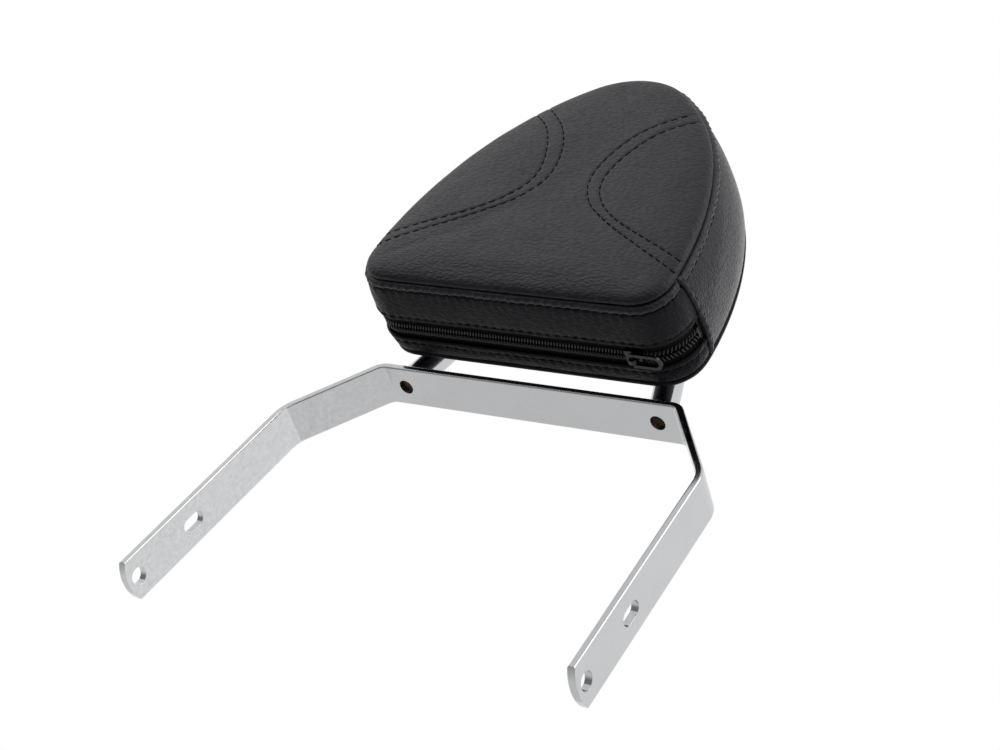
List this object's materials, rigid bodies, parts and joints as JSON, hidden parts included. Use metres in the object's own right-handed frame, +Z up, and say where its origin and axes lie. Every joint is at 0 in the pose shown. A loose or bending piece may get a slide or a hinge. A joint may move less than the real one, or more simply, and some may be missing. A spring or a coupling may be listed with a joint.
{
  "type": "motorcycle sissy bar",
  "caption": "Chromed flat-bar backrest bracket with a welded tube hoop and a stitched, zipped black backrest pad for a motorcycle's rear seat.",
  "frame": {"origin": "midway between the two lower leg holes, on their common axis", "axes": "+X to the rider's right, +Y to the rear of the motorcycle, +Z up; the pad faces -Y"},
  "size_m": [0.3474, 0.1341, 0.4598],
  "materials": {
    "chrome_bar": "bright chrome plate on flat bar",
    "chrome_tube": "bright chrome plate on bent tube",
    "bush_steel": "dark oiled steel, threaded",
    "bolt_steel": "zinc plated steel",
    "vinyl": "black grained vinyl",
    "vinyl_welt": "black vinyl, rolled",
    "plywood": "plain birch plywood",
    "foam": "moulded polyurethane foam",
    "zip_tape": "black woven tape",
    "zip_coil": "black nylon coil",
    "zip_metal": "black lacquered zinc"
  },
  "bodies": {
    "root": {"bracket_strap": "chrome_bar", "hoop_tube": "chrome_tube", "weld_beads": "chrome_tube", "left_foot_bush": "bush_steel", "right_foot_bush": "bush_steel", "lower_cross_plate": "chrome_tube", "upper_cross_plate": "chrome_tube", "pad_bolts": "bolt_steel", "pad_washers": "bolt_steel", "tee_nuts": "bolt_steel", "front_panel": "vinyl", "side_panel": "vinyl", "lower_front_strip": "vinyl", "lower_rear_strip": "vinyl", "back_panel": "vinyl", "front_welt": "vinyl_welt", "left_corner_welt": "vinyl_welt", "right_corner_welt": "vinyl_welt", "backboard": "plywood", "foam_core": "foam", "front_zip_tape": "zip_tape", "rear_zip_tape": "zip_tape", "front_zip_coil": "zip_coil", "rear_zip_coil": "zip_coil", "left_zip_stop": "zip_metal", "right_zip_stop": "zip_metal"},
    "slider": {"zip_slider": "zip_metal"},
    "tab": {"pull_tab": "zip_metal"}
  },
  "joints": [
    {"name": "slider_run", "type": "slide", "parent": "root", "child": "slider", "axis": [1, 0, 0], "range_m": [-0.181, 0]},
    {"name": "tab_hinge", "type": "hinge", "parent": "slider", "child": "tab", "pos_m": [0.0905, -0.04267, 0.22245], "axis": [0, 0.9905, 0.1374], "range_deg": [0, 160]}
  ]
}
